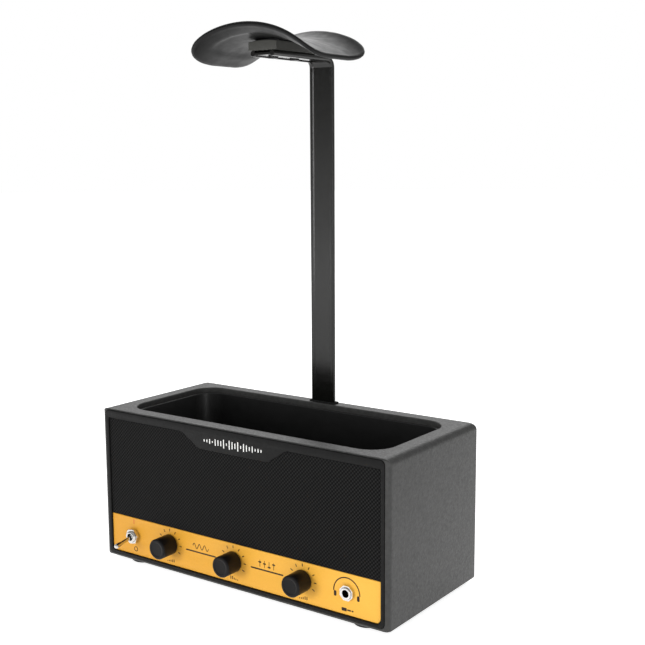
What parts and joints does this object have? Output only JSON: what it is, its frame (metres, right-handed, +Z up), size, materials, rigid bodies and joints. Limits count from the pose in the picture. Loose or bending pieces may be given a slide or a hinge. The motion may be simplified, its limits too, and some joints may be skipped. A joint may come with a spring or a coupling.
{
  "type": "headphone amplifier",
  "caption": "Desk headphone amplifier shaped like a small guitar-amp head, with a storage tray in its top and a channel post that holds a headband saddle.",
  "frame": {"origin": "middle of the cabinet's footprint, on the plane that the feet stand on", "axes": "+X to the right seen from the front, +Y from the control panel to the back, +Z up"},
  "size_m": [0.19, 0.1024, 0.2932],
  "materials": {
    "cabinet": "black moulding with a leather-like grain on the deck",
    "frame": "satin black",
    "card": "matt black",
    "cloth": "black diagonal weave",
    "panel": "gold, satin, with a fine grain",
    "tub": "satin black",
    "screw_steel": "zinc plated",
    "black_screw": "blackened steel",
    "base": "matt black",
    "foot_rubber": "matt black rubber",
    "bar": "semi-gloss black",
    "grommet": "matt black rubber",
    "block": "satin black",
    "pad": "adhesive foam",
    "saddle": "satin black",
    "switch_metal": "bright nickel",
    "switch_case": "blue phenolic",
    "contact_brass": "plated brass",
    "jack_metal": "bright nickel",
    "jack_case": "black moulding",
    "pot_case": "green phenolic",
    "pot_metal": "plain brass",
    "pot_track": "carbon film on laminate, with tinned pins",
    "circuit_board": "green solder mask",
    "chip": "black epoxy",
    "capacitor": "sleeved can",
    "connector": "ivory nylon",
    "rear": "matt black",
    "inlet_shell": "plated steel",
    "ribbon": "grey jacket",
    "wire_red": "red jacket",
    "wire_blue": "blue jacket",
    "knob": "satin black",
    "shaft_steel": "turned steel"
  },
  "bodies": {
    "stand": {"cabinet_shell": "cabinet", "front_frame": "frame", "frame_screws": "screw_steel", "grille_board": "card", "grille_cloth": "cloth", "control_panel": "panel", "tray_tub": "tub", "tray_screws": "screw_steel", "base_plate": "base", "base_screws": "black_screw", "rubber_feet": "foot_rubber", "stand_bar": "bar", "bar_screws": "black_screw", "post_grommet": "grommet", "saddle_block": "block", "block_screws": "black_screw", "saddle_pad": "pad", "saddle": "saddle", "toggle_bushing": "switch_metal", "toggle_body": "switch_case", "toggle_washer": "switch_metal", "toggle_nut": "switch_metal", "toggle_terminals": "contact_brass", "jack_barrel": "jack_metal", "jack_body": "jack_case", "jack_nut": "jack_metal", "jack_contacts": "contact_brass", "volume_pot_housing": "pot_case", "bass_pot_housing": "pot_case", "treble_pot_housing": "pot_case", "volume_pot_bushing": "pot_metal", "bass_pot_bushing": "pot_metal", "treble_pot_bushing": "pot_metal", "volume_pot_track": "pot_track", "bass_pot_track": "pot_track", "treble_pot_track": "pot_track", "control_board": "circuit_board", "main_board": "circuit_board", "board_screws": "screw_steel", "amplifier_chips": "chip", "filter_capacitors": "capacitor", "board_connectors": "connector", "rear_plate": "rear", "rear_screws": "black_screw", "line_in_jack": "jack_case", "power_inlet": "inlet_shell", "ribbon_cable": "ribbon", "switch_wires": "wire_red", "jack_wires": "wire_blue"},
    "volume_knob_body": {"volume_knob": "knob", "volume_shaft": "shaft_steel", "volume_wiper": "contact_brass"},
    "bass_knob_body": {"bass_knob": "knob", "bass_shaft": "shaft_steel", "bass_wiper": "contact_brass"},
    "treble_knob_body": {"treble_knob": "knob", "treble_shaft": "shaft_steel", "treble_wiper": "contact_brass"},
    "toggle_lever_body": {"toggle_lever": "switch_metal"},
    "switch_rocker_body": {"switch_rocker": "contact_brass"}
  },
  "joints": [
    {"name": "volume_turn", "type": "hinge", "parent": "stand", "child": "volume_knob_body", "pos_m": [-0.0459, -0.0432, 0.018], "axis": [0, 1, 0], "range_deg": [-150, 150]},
    {"name": "bass_turn", "type": "hinge", "parent": "stand", "child": "bass_knob_body", "pos_m": [-0.0009, -0.0432, 0.018], "axis": [0, 1, 0], "range_deg": [-150, 150]},
    {"name": "treble_turn", "type": "hinge", "parent": "stand", "child": "treble_knob_body", "pos_m": [0.0441, -0.0432, 0.018], "axis": [0, 1, 0], "range_deg": [-150, 150]},
    {"name": "toggle_throw", "type": "hinge", "parent": "stand", "child": "toggle_lever_body", "pos_m": [-0.0735, -0.0448, 0.0172], "axis": [-1, 0, 0], "range_deg": [0, 20]},
    {"name": "rocker_tilt", "type": "hinge", "parent": "stand", "child": "switch_rocker_body", "pos_m": [-0.0735, -0.0352, 0.0172], "axis": [-1, 0, 0], "range_deg": [-16, 0]}
  ],
  "couplings": [
    {"joint": "rocker_tilt", "follows": "toggle_throw", "ratio": -0.8}
  ]
}
